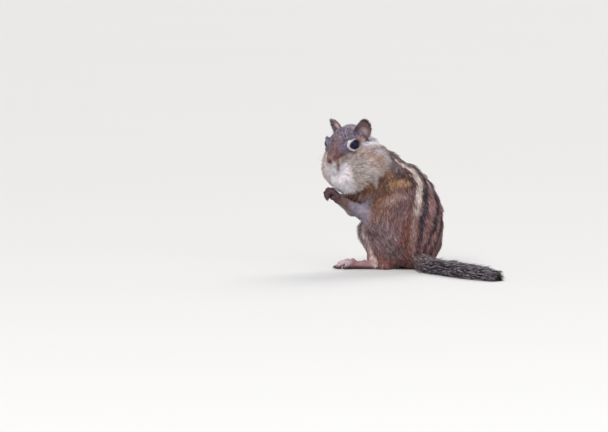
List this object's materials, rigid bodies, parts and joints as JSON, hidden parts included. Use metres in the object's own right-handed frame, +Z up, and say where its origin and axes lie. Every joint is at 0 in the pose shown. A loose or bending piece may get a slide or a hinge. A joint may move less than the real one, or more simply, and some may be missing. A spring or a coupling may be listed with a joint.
{
  "type": "chipmunk",
  "caption": "Life-size sitting chipmunk with full cheek pouches, forepaws under its chin, head turned over its shoulder and bushy tail laid on the ground.",
  "frame": {"origin": "centre of the bounding box in plan, at the level of the ground that the animal sits on", "axes": "+Z up; the animal sits with its front towards -X and its left side towards -Y, and its tail lies on the ground behind it and to its left, towards -Y"},
  "size_m": [0.1358, 0.1506, 0.1137],
  "materials": {
    "body_coat": "short dense fur, grey-brown with five dark stripes",
    "pale_coat": "short soft fur, white to pale grey",
    "tail_coat": "long loose hair, dark with pale frosted tips",
    "ear_skin": "thin skin with fine down",
    "paw_skin": "bare dark skin, slightly wrinkled",
    "foot_skin": "bare pinkish skin with thin pale fur",
    "eye": "wet, glossy black"
  },
  "bodies": {
    "root": {"torso": "body_coat", "neck": "body_coat", "head": "body_coat", "muzzle": "body_coat", "ear_left": "ear_skin", "ear_right": "ear_skin", "eye_left": "eye", "eye_right": "eye", "upper_arm_left": "body_coat", "upper_arm_right": "body_coat", "forearm_left": "pale_coat", "forearm_right": "pale_coat", "forepaw_left": "paw_skin", "forepaw_right": "paw_skin", "haunch_left": "body_coat", "haunch_right": "body_coat", "hind_foot_left": "foot_skin", "hind_foot_right": "foot_skin", "tail_root": "tail_coat", "tail_middle": "tail_coat", "tail_tip": "tail_coat"}
  },
  "joints": []
}
